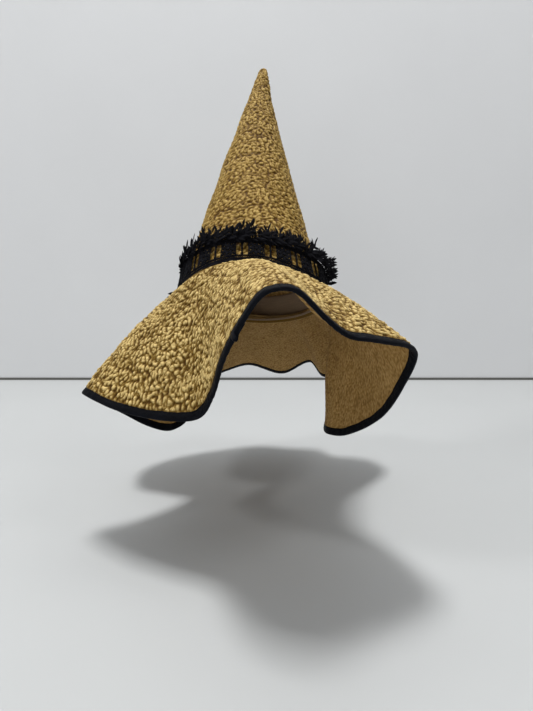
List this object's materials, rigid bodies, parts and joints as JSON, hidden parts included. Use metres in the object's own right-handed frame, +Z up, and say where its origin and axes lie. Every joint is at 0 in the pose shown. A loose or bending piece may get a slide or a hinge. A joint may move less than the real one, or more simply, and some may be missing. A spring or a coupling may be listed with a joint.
{
  "type": "conical cloth hat",
  "caption": "Tall conical cloth hat with a wide soft brim bound along its wavy hem and a band of thread lace round the foot of the crown.",
  "frame": {"origin": "centre of the head opening, where the crown is sewn to the brim", "axes": "+Z up as the hat is worn, -Y towards the wearer's front, +X towards the wearer's left"},
  "size_m": [0.3628, 0.459, 0.4663],
  "materials": {
    "straw_cloth": "crinkled, slightly shiny",
    "stiffener": "matt",
    "lining_cloth": "fine crinkle",
    "ribbon": "ribbed",
    "binding_tape": "satin",
    "lace_thread": "matt",
    "tan_thread": "twisted",
    "black_thread": "twisted"
  },
  "bodies": {
    "root": {"crown_cloth": "straw_cloth", "crown_interlining": "stiffener", "crown_lining": "lining_cloth", "crown_seam_allowance": "straw_cloth", "crown_seam_stitches": "tan_thread", "sweatband": "ribbon", "sweatband_stitches": "tan_thread", "head_seam_stitches": "tan_thread", "brim_top_cloth": "straw_cloth", "brim_interlining": "stiffener", "brim_lining": "lining_cloth", "brim_binding": "binding_tape", "binding_join": "binding_tape", "binding_stitches": "black_thread", "lace_heading": "lace_thread", "lace_braid": "lace_thread", "lace_rosettes": "lace_thread", "lace_bars": "lace_thread", "lace_leaves": "lace_thread", "lace_spur": "lace_thread", "lace_stitches": "black_thread"}
  },
  "joints": []
}
